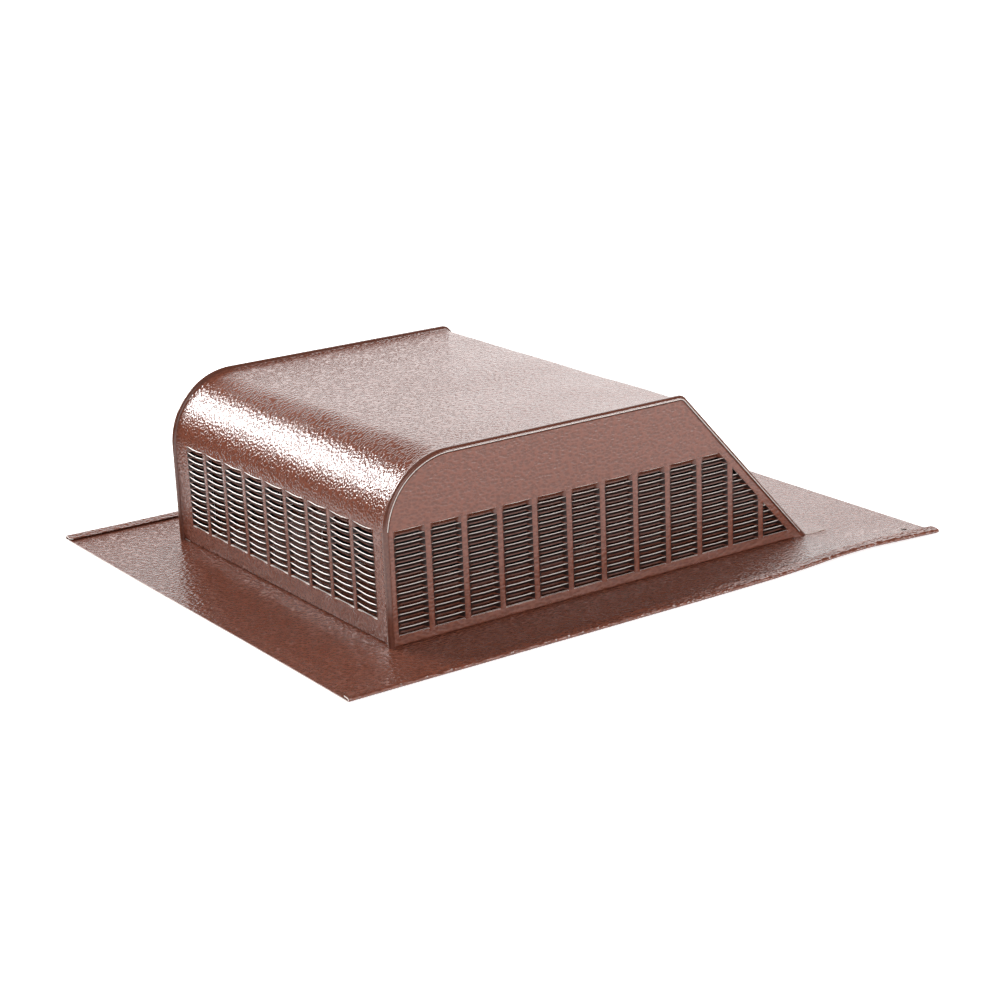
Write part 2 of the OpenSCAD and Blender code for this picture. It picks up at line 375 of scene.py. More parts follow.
def sill_line(sheetwork, place, start, end, sill, steps=6):
    """Adds the bright sheared corner along a window's lower edge."""
    section = [(-0.45, -0.04), (0.02, 0.38), (-0.45, 0.38)]
    points, faces, finishes = [], [], []
    stops = np.linspace(start, end, steps)
    for a in stops:
        points += [place(a, sill + up, depth) for up, depth in section]
    for k in range(len(stops) - 1):
        for i in range(3):
            j = (i + 1) % 3
            faces.append((3 * k + i, 3 * k + j, 3 * k + 3 + j, 3 * k + 3 + i))
            finishes.append(EDGE if i == 0 else PAINT)
    last = 3 * (len(stops) - 1)
    faces += [(2, 1, 0), (last, last + 1, last + 2)]
    finishes += [EDGE, EDGE]
    sheetwork.add(points, faces, finishes)


def add_node(tree, kind, settings=None, values=None, links=None):
    """Adds a shader node with its settings, its values and the sockets that feed it."""
    made = tree.nodes.new(kind)
    for key, value in (settings or {}).items():
        setattr(made, key, value)
    for key, value in (values or {}).items():
        made.inputs[key].default_value = value
    for key, source in (links or {}).items():
        tree.links.new(source, made.inputs[key])
    return made


def new_material(name):
    """An empty node material with its output."""
    made = bpy.data.materials.new(name)
    made.use_nodes = True
    made.node_tree.nodes.clear()
    return made, made.node_tree, add_node(made.node_tree, "ShaderNodeOutputMaterial")


def embossed_enamel(name, finish, seed, roughness, depth):
    """Galvanised steel sheet, roller-embossed and coil-coated with a baked brown enamel.

    The eye gets a glossy skin over a fine pebbled grain, which breaks each reflection into beads.
    """
    made, tree, output = new_material(name)
    cell = finish.emboss_cell
    place = add_node(tree, "ShaderNodeTexCoord")
    shifted = add_node(
        tree, "ShaderNodeMapping", values={"Location": (seed, seed * 0.7, seed * 0.3), "Scale": (1.0, 0.55, 1.0)},
        links={"Vector": place.outputs["Object"]},
    )
    # The emboss: a level skin with narrow pits, stretched along the rolling direction and dragged so that none is round
    drift = add_node(
        tree, "ShaderNodeTexNoise", values={"Scale": 0.45 / cell, "Detail": 2.0, "Roughness": 0.6},
        links={"Vector": shifted.outputs["Vector"]},
    )
    centred = add_node(
        tree, "ShaderNodeVectorMath", {"operation": "SUBTRACT"}, {1: (0.5, 0.5, 0.5)}, {0: drift.outputs["Color"]}
    )
    drag = cell * 0.8
    dragged = add_node(
        tree, "ShaderNodeVectorMath", {"operation": "MULTIPLY_ADD"}, {1: (drag, drag, drag)},
        {0: centred.outputs["Vector"], 2: shifted.outputs["Vector"]},
    )
    cells = add_node(
        tree, "ShaderNodeTexVoronoi", {"feature": "F1"}, {"Scale": 1.0 / cell}, {"Vector": dragged.outputs["Vector"]}
    )
    mounds = add_node(
        tree, "ShaderNodeMapRange", {"interpolation_type": "SMOOTHSTEP"},
        {"From Min": 0.2, "From Max": 0.78, "To Min": 0.0, "To Max": 1.0}, {"Value": cells.outputs["Distance"]},
    )
    # Orange peel of the baked enamel, drawn at 0.9 mm so that it shows
    peel = add_node(
        tree, "ShaderNodeTexNoise", values={"Scale": 1100.0, "Detail": 1.0, "Roughness": 0.5},
        links={"Vector": shifted.outputs["Vector"]},
    )
    height = add_node(
        tree, "ShaderNodeMath", {"operation": "MULTIPLY_ADD"}, {1: 0.35},
        {0: peel.outputs["Fac"], 2: mounds.outputs["Result"]},
    )
    bump = add_node(
        tree, "ShaderNodeBump", values={"Strength": 1.0, "Distance": depth}, links={"Height": height.outputs["Value"]}
    )
    # Handling leaves the gloss patchy over hand-sized areas
    patch = add_node(
        tree, "ShaderNodeTexNoise", values={"Scale": 14.0, "Detail": 3.0, "Roughness": 0.55},
        links={"Vector": shifted.outputs["Vector"]},
    )
    gloss = add_node(
        tree, "ShaderNodeMapRange", {},
        {"From Min": 0.3, "From Max": 0.7, "To Min": roughness - 0.04, "To Max": roughness + 0.06},
        {"Value": patch.outputs["Fac"]},
    )
    # Painted shade in the pits: small dark dots, deep in some cells and faint in the others
    core = add_node(
        tree, "ShaderNodeMapRange", {"interpolation_type": "SMOOTHSTEP"},
        {"From Min": 0.16, "From Max": 0.38, "To Min": 1.0, "To Max": 0.0}, {"Value": cells.outputs["Distance"]},
    )
    draw = add_node(tree, "ShaderNodeSeparateColor", links={"Color": cells.outputs["Color"]})
    some = add_node(
        tree, "ShaderNodeMapRange", {}, {"From Min": 0.35, "From Max": 0.9, "To Min": 0.1, "To Max": 0.6},
        {"Value": draw.outputs["Red"]},
    )
    darker = add_node(
        tree, "ShaderNodeMath", {"operation": "MULTIPLY"}, links={0: core.outputs["Result"], 1: some.outputs["Result"]}
    )
    # Painted shade between the mounds: a little darker
    valley = add_node(
        tree, "ShaderNodeMapRange", {}, {"From Min": 0.0, "From Max": 1.0, "To Min": 0.4, "To Max": 0.0},
        {"Value": mounds.outputs["Result"]},
    )
    shaded = add_node(
        tree, "ShaderNodeMath", {"operation": "MAXIMUM"}, links={0: darker.outputs["Value"], 1: valley.outputs["Result"]}
    )
    hue = add_node(
        tree, "ShaderNodeMix", {"data_type": "RGBA"}, {6: finish.paint, 7: finish.paint_shade},
        {0: shaded.outputs["Value"]},
    )
    skin = add_node(
        tree, "ShaderNodeBsdfPrincipled", values={"IOR": 1.55},
        links={"Base Color": hue.outputs[2], "Roughness": gloss.outputs["Result"], "Normal": bump.outputs["Normal"]},
    )
    tree.links.new(skin.outputs["BSDF"], output.inputs["Surface"])
    return made


def matt_coat(name, colour, roughness, doc_scale):
    """A thin dull coat with the faint streaks of its roller."""
    made, tree, output = new_material(name)
    place = add_node(tree, "ShaderNodeTexCoord")
    # Roller streaks, a few millimetres wide
    streaks = add_node(
        tree, "ShaderNodeTexNoise", values={"Scale": doc_scale, "Detail": 2.0}, links={"Vector": place.outputs["Object"]}
    )
    shade = add_node(
        tree, "ShaderNodeMix", {"data_type": "RGBA"}, {6: [c * 0.75 for c in colour[:3]] + [1.0], 7: colour},
        {0: streaks.outputs["Fac"]},
    )
    bump = add_node(
        tree, "ShaderNodeBump", values={"Strength": 0.5, "Distance": 0.00004}, links={"Height": streaks.outputs["Fac"]}
    )
    skin = add_node(
        tree, "ShaderNodeBsdfPrincipled", values={"Roughness": roughness, "IOR": 1.33},
        links={"Base Color": shade.outputs[2], "Normal": bump.outputs["Normal"]},
    )
    tree.links.new(skin.outputs["BSDF"], output.inputs["Surface"])
    return made


def rolled_enamel(name, finish):
    """Enamel on the seams, the strips' lips, the top rows under the window heads and the hems' free edges: darker as
    painted shade, glossier, with lengthwise rub marks of the seaming rollers.
    """
    made, tree, output = new_material(name)
    place = add_node(tree, "ShaderNodeTexCoord")
    # Rub marks of the rollers, about a millimetre apart, drawn between the paint and its painted shade colour
    rubs = add_node(
        tree, "ShaderNodeTexNoise", values={"Scale": 600.0, "Detail": 3.0, "Roughness": 0.7},
        links={"Vector": place.outputs["Object"]},
    )
    shade = add_node(
        tree, "ShaderNodeMix", {"data_type": "RGBA"}, {6: finish.paint_shade, 7: finish.paint}, {0: rubs.outputs["Fac"]}
    )
    bump = add_node(
        tree, "ShaderNodeBump", values={"Strength": 0.6, "Distance": 0.00006}, links={"Height": rubs.outputs["Fac"]}
    )
    skin = add_node(
        tree, "ShaderNodeBsdfPrincipled", values={"Roughness": 0.2, "IOR": 1.55},
        links={"Base Color": shade.outputs[2], "Normal": bump.outputs["Normal"]},
    )
    tree.links.new(skin.outputs["BSDF"], output.inputs["Surface"])
    return made


def sheared_zinc(name, finish):
    """Bare sheared edge of galvanised steel: a pale, finely torn line along every cut, also used as the painted
    highlight of the seams' bead.
    """
    made, tree, output = new_material(name)
    place = add_node(tree, "ShaderNodeTexCoord")
    # Tearing of the shear, drawn at 0.6 mm so that it shows
    tear = add_node(
        tree, "ShaderNodeTexNoise", values={"Scale": 1600.0, "Detail": 2.0},
        links={"Vector": place.outputs["Object"]},
    )
    shade = add_node(
        tree, "ShaderNodeMix", {"data_type": "RGBA"}, {6: linear("#c9beb8"), 7: finish.zinc},
        {0: tear.outputs["Fac"]},
    )
    bump = add_node(
        tree, "ShaderNodeBump", values={"Strength": 0.6, "Distance": 0.00005}, links={"Height": tear.outputs["Fac"]}
    )
    skin = add_node(
        tree, "ShaderNodeBsdfPrincipled", values={"Metallic": 0.15, "Roughness": 0.5},
        links={"Base Color": shade.outputs[2], "Normal": bump.outputs["Normal"]},
    )
    tree.links.new(skin.outputs["BSDF"], output.inputs["Surface"])
    return made


def sheet_metal(skin):
    """The skin of one piece with the four finishes that all the pieces share, in the order of their numbers."""
    finish = bpy.context.scene.roof_vent_finish
    have = bpy.data.materials.get
    return [
        skin,
        have("sheared_zinc") or sheared_zinc("sheared_zinc", finish),
        have("lanced_enamel") or matt_coat("lanced_enamel", finish.lanced, 0.45, 700.0),
        have("rolled_backer_coat") or matt_coat("rolled_backer_coat", finish.backer_painted_shade, 0.6, 300.0),
        have("rolled_enamel") or rolled_enamel("rolled_enamel", finish),
    ]


def hood_front():
    """The y of the hood's front, in metres."""
    flashing, hood = bpy.context.scene.roof_vent_flashing, bpy.context.scene.roof_vent_hood
    return hood.front - flashing.length / 2


class ROOFVENT_OT_flashing(bpy.types.Operator):
    """Makes the flashing: one sheet with open hems, nail holes and a turned-up throat"""

    bl_idname = "roofvent.flashing"
    bl_label = "Flashing"

    def execute(self, context):
        size, finish = context.scene.roof_vent_flashing, context.scene.roof_vent_finish
        sheet = size.thickness / MM
        half_w, half_l = size.width / MM / 2, size.length / MM / 2
        hem_r = size.hem_height / MM / 2
        bore = 0.4
        lean = math.radians(106)
        turn = math.radians(188)
        flat = half_w - bore - sheet
        # The left hem was pressed flatter than the drawing's
        rise = 0.35 * (2 * hem_r - 2 * sheet - 2 * bore) / math.sin(lean)
        flap = size.hem_width / MM - hem_r
        stops = [flat, flat + bore * lean, flat + bore * lean + rise, flat + bore * turn + rise]
        full = stops[3] + flap
        front = hood_front() / MM
        throat_y = front + size.throat_from_front / MM
        throat_r = size.throat_radius / MM
        collar_bend = 2.0
        hump = size.hump / MM
        wave = size.wave / MM
        edge_p = [-half_l, -half_l + 40, -half_l + 70, 30, 90, 125, 152, 181, 221, half_l]
        edge_z = [0.0, 0.0, 0.0, 0.0, 0.1, 0.4, 0.75, 0.85, 0.35, 0.0]
        front_x = [-half_w, -190, -55, 64, 144, 194, half_w]
        front_z = [0.3, 0.2, 0.0, 0.6, 0.5, 0.2, 0.0]

        def lift(x, y):
            """How far handling has lifted the sheet off the deck here."""
            out = max(abs(x) - 152.0, 0.0) / (half_w - 152.0)
            right = hump * np.interp(y, edge_p, edge_z) * smooth(out) if x > 0 else 0.0
            ahead = smooth((front - 4.0 - y) / (front + half_l - 4.0)) if y < front - 4.0 else 0.0
            soft = wave * (1 + ripple(x, y, 70.0, 3.1)) * max(smooth(out * 2.5), ahead, smooth((y - 200) / 30))
            return right + ahead * np.interp(x, front_x, front_z) * 0.8 + soft

        def section(u, v):
            """The sheet's upper face across the vent: (x, z, normal x, normal z) for the flat-pattern place (u, v)."""
            way, a = (1.0 if u >= 0 else -1.0), abs(u)
            if a <= flat:
                return u, sheet, 0.0, 1.0
            if u > 0:
                # The right hem has sprung open, more towards the rear
                opened = math.radians(3 + 9 * smooth((v + half_l) / (2 * half_l)))
                bend, last = 0.7, math.pi - opened
                t = min((a - flat) / bend, last)
                over = max(a - flat - bend * last, 0.0) * 0.75
                x = flat - 0.35 + bend * math.sin(t) - over * math.cos(opened)
                return x, sheet + bend * (1 - math.cos(t)) + over * math.sin(opened), -math.sin(t), math.cos(t)
            # The fold: a tight bend up past the vertical, a leaning face, and a tight bend back over the flashing
            t = min((a - stops[0]) / bore, lean)
            x, z = flat + bore * math.sin(t), sheet + bore * (1 - math.cos(t))
            if a > stops[1]:
                run = min(a, stops[2]) - stops[1]
                x, z = x + run * math.cos(lean), z + run * math.sin(lean)
            if a > stops[2]:
                t = min(lean + (a - stops[2]) / bore, turn)
                x, z = x + bore * (math.sin(t) - math.sin(lean)), z + bore * (math.cos(lean) - math.cos(t))
            if a > stops[3]:
                x, z = x + (a - stops[3]) * math.cos(turn), z + (a - stops[3]) * math.sin(turn)
            return way * x, z, -way * math.sin(t), math.cos(t)

        across = list(np.linspace(-flat, flat, 53))
        hem = list(np.linspace(stops[0], stops[1], 5)[1:]) + list(np.linspace(stops[1], stops[2], 4)[1:])
        hem += list(np.linspace(stops[2], stops[3], 5)[1:]) + [full - flap * t for t in (0.66, 0.33, 0)]
        across = sorted(across + hem + [-u for u in hem])
        back = list(np.linspace(-half_l, half_l, 64))
        trim = 2.2
        outline = [(u, -half_l) for u in across if abs(u) < full - trim] + [(full - trim, -half_l), (full, -half_l + trim)]
        outline += [(full, v) for v in back if abs(v) < half_l - trim - 1]
        outline += [(full, half_l - trim), (full - trim, half_l)]
        outline += [(u, half_l) for u in reversed(across) if abs(u) < full - trim]
        outline += [(-full + trim, half_l), (-full, half_l - trim)]
        outline += [(-full, v) for v in reversed(back) if abs(v) < half_l - trim - 1]
        outline += [(-full, -half_l + trim), (-full + trim, -half_l)]
        rounds = [(0.0, throat_y, throat_r + sheet + collar_bend, 96)]
        nail_x, nail_y = half_w - 20.0, half_l - 16.0
        rounds += [(way * nail_x, nail_y, size.nail_hole / MM / 2, 20) for way in (-1, 1)]
        loops = [outline]
        for x, y, r, n in rounds:
            loops.append([(x + r * math.cos(2 * math.pi * k / n), y + r * math.sin(2 * math.pi * k / n)) for k in range(n)])
        points, edges = [], []
        for loop in loops:
            base = len(points)
            points += loop
            edges += [(base + k, base + (k + 1) % len(loop)) for k in range(len(loop))]
        for u in across[1:-1]:
            for v in back[1:-1]:
                if all(math.hypot(u - x, v - y) > r + min(2.5, r) for x, y, r, n in rounds):
                    if abs(u) < full - trim or abs(v) < half_l - 2 * trim:
                        points.append((u, v))
        made = delaunay_2d_cdt([Vector(p) for p in points], edges, [], 1, 1e-4)
        flat_points = [tuple(v) for v in made[0]]
        faces = []
        for f in made[2]:
            cx = sum(flat_points[i][0] for i in f) / len(f)
            cy = sum(flat_points[i][1] for i in f) / len(f)
            if all(math.hypot(cx - x, cy - y) > r * math.cos(math.pi / n) for x, y, r, n in rounds):
                faces.append(tuple(f))
        outer, normals = [], []
        for u, v in flat_points:
            x, z, nx, nz = section(u, v)
            outer.append((x * MM, v * MM, (z + lift(x, v)) * MM))
            normals.append((nx, 0.0, nz))
        work = Sheetwork()
        work.sheet(outer, normals, faces, size.thickness)
        # The hems' free edges lie under the coat and take the darker rolled enamel, painted shade; the front and rear
        # edges were sheared after it
        for n, f in enumerate(work.faces):
            if work.finishes[n] == EDGE and all(abs(work.points[i][1]) < (half_l - 0.5) * MM for i in f):
                if min(abs(work.points[i][0]) for i in f) > 0.9 * half_w * MM:
                    work.finishes[n] = ROLLED_SHADE
        # The throat: the sheet bends up round the hole and stands as a collar
        ring_r = throat_r + sheet + collar_bend
        band = []
        for t in np.linspace(0, 1, 7):
            a = -math.pi / 2 - t * math.pi / 2
            band.append((ring_r + collar_bend * math.cos(a), sheet + collar_bend + collar_bend * math.sin(a), -math.cos(a), -math.sin(a)))
        for z in np.linspace(sheet + collar_bend, size.collar_height / MM, 5)[1:]:
            band.append((throat_r + sheet, z, 1.0, 0.0))
        turns = 128
        outer, normals, faces = [], [], []
        for k in range(turns):
            c, s = math.cos(2 * math.pi * k / turns), math.sin(2 * math.pi * k / turns)
            for r, z, nr, nz in band:
                outer.append((r * c * MM, (throat_y + r * s) * MM, z * MM))
                normals.append((nr * c, nr * s, nz))
        for k in range(turns):
            for i in range(len(band) - 1):
                a, b = k * len(band) + i, ((k + 1) % turns) * len(band) + i
                faces.append((a, b, b + 1, a + 1))
        work.sheet(outer, normals, [tuple(reversed(f)) for f in faces], size.thickness)
        skin = embossed_enamel("embossed_enamel_flashing", finish, 0.0, 0.15, finish.emboss_depth * 1.4)
        work.build("flashing_sheet", sheet_metal(skin), "base_flashing", "flashing")
        return {"FINISHED"}


class ROOFVENT_OT_hood_wrap(bpy.types.Operator):
    """Makes the hood's wrap: louvred front, nose, top, ridge, slanted back and foot in one sheet"""

    bl_idname = "roofvent.hood_wrap"
    bl_label = "Hood wrap"

    def execute(self, context):
        scene = context.scene
        size, louvres, finish = scene.roof_vent_hood, scene.roof_vent_louvres, scene.roof_vent_finish
        sheet = scene.roof_vent_flashing.thickness
        side = Side(size, sheet)
        front = hood_front() / MM
        stand = size.rim_stand / MM
        pitch = louvres.pitch / MM
        sill = side.deck + louvres.front_sill / MM
        head = sill + louvres.front_rows * pitch
        columns, step = louvres.front_columns, louvres.front_pitch / MM
        wide = louvres.front_width / MM
        run = (columns - 1) * step + wide
        starts = [c * step - run / 2 for c in range(columns)]
        roll_x = (size.width / 2 + size.roll_proud - size.roll_radius) / MM
        bore = (size.roll_radius - sheet) / MM
        edge = roll_x - bore + 0.2 + sheet / MM
        foot_half = size.width / MM / 2
        profile = wrap_profile(
            side, stand, size.flange / MM, size.foot_length / MM, sill, head, louvres.front_rows
        )
        cove, swell = 9.0, 1.9
        shoulders = [0.0, 0.8, 1.8, 3.2, 5.0, 7.0, cove]
        across = [-edge + s for s in shoulders] + [starts[0]]
        dips = {starts[0]: 1}
        for k, s in enumerate(starts):
            across += [s + 0.33 * wide, s + 0.67 * wide, s + wide]
            if k + 1 < columns:
                gap = starts[k + 1] - s - wide
                across += [s + wide + 0.7, s + wide + gap / 2, starts[k + 1] - 0.7, starts[k + 1]]
        across += [edge - s for s in reversed(shoulders)]
        rims = {round(s, 4) for s in starts} | {round(s + wide, 4) for s in starts}

        def lies_in(x0, x1):
            return any(x0 >= s - 1e-6 and x1 <= s + wide + 1e-6 for s in starts)

        outer, normals = [], []
        for p, z, np_, nz in profile:
            in_windows = sill - 0.01 <= z <= head + 0.01 and p < side.nose
            at_foot = p > side.foot(stand) - 2.0
            for x in across:
                dip = 0.25 if in_windows and round(x, 4) in rims else 0.0
                calm = smooth((edge - abs(x)) / 25.0)
                soft = 0.45 * ripple(x, p + z, 55.0, 7.7) * calm if p > 12 and not at_foot else 0.0
                if p < 12 and z > 12:
                    soft = 0.12 * ripple(x, z, 40.0, 5.2) * calm * smooth((z - 12) / 8)
                wide_x = x
                if p > side.long + 0.2 and abs(x) == edge:
                    wide_x = math.copysign(foot_half, x)
                near = max(abs(x) - (edge - cove), 0.0) / cove
                if at_foot or z < 3.0:
                    near = 0.0
                depth = dip - min(soft, 0.4) - swell * near**2
                outer.append((wide_x * MM, (front + p - np_ * depth) * MM, (z - nz * depth) * MM))
                normals.append((0.0, np_, nz))
        faces = []
        count = len(across)
        for k in range(len(profile) - 1):
            z0, z1 = profile[k][1], profile[k + 1][1]
            windowed = profile[k][0] < side.nose and z0 >= sill - 1e-6 and z1 <= head + 1e-6 and z1 > z0
            for i in range(count - 1):
                if windowed and lies_in(across[i], across[i + 1]):
                    continue
                a = k * count + i
                faces.append((a, a + 1, a + count + 1, a + count))
        work = Sheetwork()
        work.sheet(outer, normals, faces, sheet, BACKER_SHADE)
        radius = side.nose - stand

        def to_vent(a, z, depth):
            bow = radius - math.sqrt(max(radius**2 - max(z - side.nose_z, 0.0) ** 2, 0.0))
            return (a * MM, (front + stand + bow + depth + 0.05) * MM, z * MM)

        for s in starts:
            sill_line(work, to_vent, s, s + wide, sill)
            for row in range(1, louvres.front_rows + 1):
                # Every strip's outer face is painted shade: the top row's, under the window's head, in the rolled
                # enamel, the rest in the louvres' near-black
                strip(
                    work, to_vent, s - 0.2, lambda z, e=s + wide + 0.2: e, sill + row * pitch, pitch - 0.12,
                    sheet / MM * 0.72, louvres.lean, louvres.lip / MM, louvres.twist / MM, louvres.front_sag / MM,
                    ROLLED_SHADE if row == louvres.front_rows else PAINTED_SHADE,
                )
        skin = embossed_enamel("embossed_enamel_wrap", finish, 1.7, 0.12, finish.emboss_depth * 0.8)
        work.build("hood_wrap_sheet", sheet_metal(skin), "hood_wrap", "hood")
        return {"FINISHED"}


class ROOFVENT_OT_side_panels(bpy.types.Operator):
    """Makes the two louvred side panels with the rolled seams round their rims"""

    bl_idname = "roofvent.side_panels"
    bl_label = "Side panels"

    def execute(self, context):
        scene = context.scene
        size, finish = scene.roof_vent_hood, scene.roof_vent_finish
        work = Sheetwork()
        self.panel(scene, work)
        self.strips(scene, work)
        self.seam(scene, work)
        skin = embossed_enamel("embossed_enamel_sides", finish, 4.2, 0.24, finish.emboss_depth * 0.5)
        work.build("right_panel_sheet", sheet_metal(skin), "right_side_panel", "side_panels")
        work.mirrored().build("left_panel_sheet", sheet_metal(skin), "left_side_panel", "side_panels")
        return {"FINISHED"}

    def windows(self, scene):
        """The columns as (start, end) and the heights (sill, head) in millimetres."""
        louvres = scene.roof_vent_louvres
        first, step, wide = louvres.side_first / MM, louvres.side_pitch / MM, louvres.side_width / MM
        sill = scene.roof_vent_flashing.thickness / MM + louvres.side_sill / MM
        head = sill + louvres.side_rows * louvres.pitch / MM
        return [(first + c * step, first + c * step + wide) for c in range(louvres.side_columns)], sill, head

    def panel(self, scene, work):
        """Adds the panel's sheet with its windows and its foot flange."""
        size, louvres = scene.roof_vent_hood, scene.roof_vent_louvres
        side = Side(size, scene.roof_vent_flashing.thickness)
        front = hood_front() / MM
        face = size.width / MM / 2
        columns, sill, head = self.windows(scene)
        border = side.foot(louvres.side_border / MM)
        grade = math.tan(side.slant)

        def window_top(p):
            return max(min(head, side.deck + (border - p) * grade), sill)

        top_d = 3.5
        lines = {top_d, side.nose, side.ridge_p, border - (head - side.deck) / grade, border, side.foot(top_d)}
        for a, b in columns:
            lines |= {a, a + 0.7, b - 0.7, b, a - 0.7, b + 0.7, (a + b) / 2}
        lines |= {side.nose - (side.nose - top_d) * math.cos(t) for t in np.linspace(0, math.pi / 2, 22)}
        lines |= {side.ridge_p + (side.ridge - top_d) * math.sin(t) for t in np.linspace(0, side.slant, 7)}
        lines |= set(np.linspace(border, side.foot(top_d), 4))
        keep = {round(v, 4) for pair in columns for v in pair} | {round(v, 4) for v in (top_d, side.foot(top_d))}
        lines = sorted(v for v in lines if top_d <= v <= side.foot(top_d) + 1e-9)
        thinned = []
        for v in lines:
            if thinned and v - thinned[-1] < 0.35:
                if round(v, 4) in keep:
                    thinned[-1] = v
                continue
            thinned.append(v)
        lines = thinned
        rims = {round(v, 4) for pair in columns for v in pair}
        levels = 5 + 8 + 8

        def heights(p):
            top = side.rim_z(max(p, top_d), top_d)
            bottom = side.deck + 1.6 if p < side.foot(top_d) - 9.0 else side.deck
            low = min(sill, top)
            mid = min(window_top(p), top)
            return (
                list(np.linspace(bottom, low, 5))
                + list(np.linspace(low, mid, 9))[1:]
                + list(np.linspace(mid, top, 9))[1:]
            )

        outer, normals = [], []
        for p in lines:
            for k, z in enumerate(heights(p)):
                in_windows = 4 <= k <= 12
                dip = 0.25 if in_windows and round(p, 4) in rims and window_top(p) > sill else 0.0
                calm = smooth((side.rim_z(p, top_d) - z) / 18.0) * smooth(z / 12.0)
                soft = 0.3 * ripple(p, z, 48.0, 2.4) * calm
                out = face - dip - max(soft, 0.0)
                outer.append((out * MM, (front + p) * MM, z * MM))
                normals.append((1.0, 0.0, 0.0))
        faces = []
        count = levels
        for i in range(len(lines) - 1):
            p0, p1 = lines[i], lines[i + 1]
            inside = any(p0 >= a - 1e-3 and p1 <= b + 1e-3 for a, b in columns)
            for k in range(count - 1):
                if inside and 4 <= k < 12 and (window_top(p0) > sill + 0.2 or window_top(p1) > sill + 0.2):
                    continue
                a = i * count + k
                quad = (a, a + count, a + count + 1, a + 1)
                spots = [outer[j] for j in quad]
                distinct = []
                for j, q in zip(quad, spots):
                    if all(math.dist(q, outer[d]) > 1e-7 for d in distinct):
                        distinct.append(j)
                if len(distinct) >= 3:
                    faces.append(tuple(distinct))
        work.sheet(outer, normals, faces, scene.roof_vent_flashing.thickness, BACKER_SHADE)
        # The foot flange, turned in under the hood
        flange = size.flange / MM
        sheet = side.deck
        outer, normals, faces = [], [], []
        section = [(face, sheet + 1.6, 1.0, 0.0)]
        for t in np.linspace(0, math.pi / 2, 6):
            section.append((face - 1.6 + 1.6 * math.cos(t), sheet + 1.6 - 1.6 * math.sin(t), math.cos(t), -math.sin(t)))
        section.append((face - flange, sheet, 0.0, -1.0))
        runs = np.linspace(top_d, side.foot(top_d) - 9.0, 22)
        for p in runs:
            for x, z, nx, nz in section:
                outer.append((x * MM, (front + p) * MM, z * MM))
                normals.append((nx, 0.0, nz))
        for i in range(len(runs) - 1):
            for k in range(len(section) - 1):
                a = i * len(section) + k
                faces.append((a, a + 1, a + 1 + len(section), a + len(section)))
        work.sheet(outer, normals, faces, scene.roof_vent_flashing.thickness)

    def strips(self, scene, work):
        """Adds the lanced strips of the panel's windows, cut off along the slanted border."""
        size, louvres = scene.roof_vent_hood, scene.roof_vent_louvres
        sheet = scene.roof_vent_flashing.thickness / MM
        side = Side(size, sheet * MM)
        front = hood_front() / MM
        face = size.width / MM / 2
        columns, sill, head = self.windows(scene)
        pitch = louvres.pitch / MM
        border = side.foot(louvres.side_border / MM)
        grade = math.tan(side.slant)

        def place(a, z, depth):
            return ((face - depth - 0.05) * MM, (front + a) * MM, z * MM)

        for start, end in columns:
            sill_line(work, place, start, min(end, border - (sill - side.deck) / grade), sill)
            for row in range(1, louvres.side_rows + 1):
                top = sill + row * pitch

                def ends(z, end=end):
                    return min(end, border - (z - side.deck) / grade) + 0.2

                if ends(top) - start > 1.0:
                    # Every strip's outer face is painted shade: the top row's, under the window's head, in the rolled
                    # enamel, the rest in the louvres' near-black
                    strip(
                        work, place, start - 0.2, ends, top, pitch - 0.12, sheet * 0.75, louvres.lean,
                        louvres.lip / MM, louvres.twist / MM, louvres.side_sag / MM,
                        ROLLED_SHADE if row == louvres.side_rows else PAINTED_SHADE,
                    )

    def seam(self, scene, work):
        """Adds the rolled seam: a hollow bead swept round the panel's rim."""
        size = scene.roof_vent_hood
        sheet = scene.roof_vent_flashing.thickness / MM
        side = Side(size, sheet * MM)
        front = hood_front() / MM
        face = size.width / MM / 2
        r = size.roll_radius / MM
        bore = r - sheet
        mid = face + size.roll_proud / MM - r
        tail = size.rim_stand / MM - 0.2
        panel_in = face - sheet
        out_end = math.asin((panel_in - mid) / r)
        in_end = math.asin((panel_in - mid) / bore)
        section = [(mid - r, tail)]
        for t in np.linspace(-math.pi / 2, math.pi - out_end, 26):
            section.append((mid + r * math.sin(t), r - r * math.cos(t)))
        for t in np.linspace(math.pi - in_end, -math.pi / 2, 16):
            section.append((mid + bore * math.sin(t), r - bore * math.cos(t)))
        section.append((mid - bore, tail))
        rings = []
        samples = side.rim()
        for n, (p, z, op, oz) in enumerate(samples):
            ring = []
            for x, d in section:
                worn = 0.1 * ripple(p, z, 14.0, x * 0.2)
                depth = max(d + worn, 0.02) if 0.3 < d < 4.0 else max(d, 0.02)
                if n == len(samples) - 1:
                    ring.append((x * MM, (front + side.foot(d)) * MM, side.deck * MM))
                else:
                    ring.append((x * MM, (front + p - op * depth) * MM, max(z - oz * depth, side.deck) * MM))
            rings.append(ring)
        self.bead(work, side, front, face)
        count = len(section)
        points = [q for ring in rings for q in ring]
        faces = []
        for k in range(len(rings) - 1):
            for i in range(count):
                j = (i + 1) % count
                faces.append((k * count + i, (k + 1) * count + i, (k + 1) * count + j, k * count + j))
        # The roll's outer lower side keeps the plain enamel; the rest of the roll takes the darker rolled enamel as
        # painted shade
        fold = [PAINT if x > mid and d > 2.7 and i < 27 else ROLLED_SHADE for i, (x, d) in enumerate(section)]
        finishes = fold * (len(rings) - 1)
        half = count // 2
        for base, flip in ((0, False), ((len(rings) - 1) * count, True)):
            for i in range(half - 1):
                quad = (base + i, base + i + 1, base + count - 2 - i, base + count - 1 - i)
                faces.append(tuple(reversed(quad)) if flip else quad)
                finishes.append(EDGE)
        work.add(points, faces, finishes)


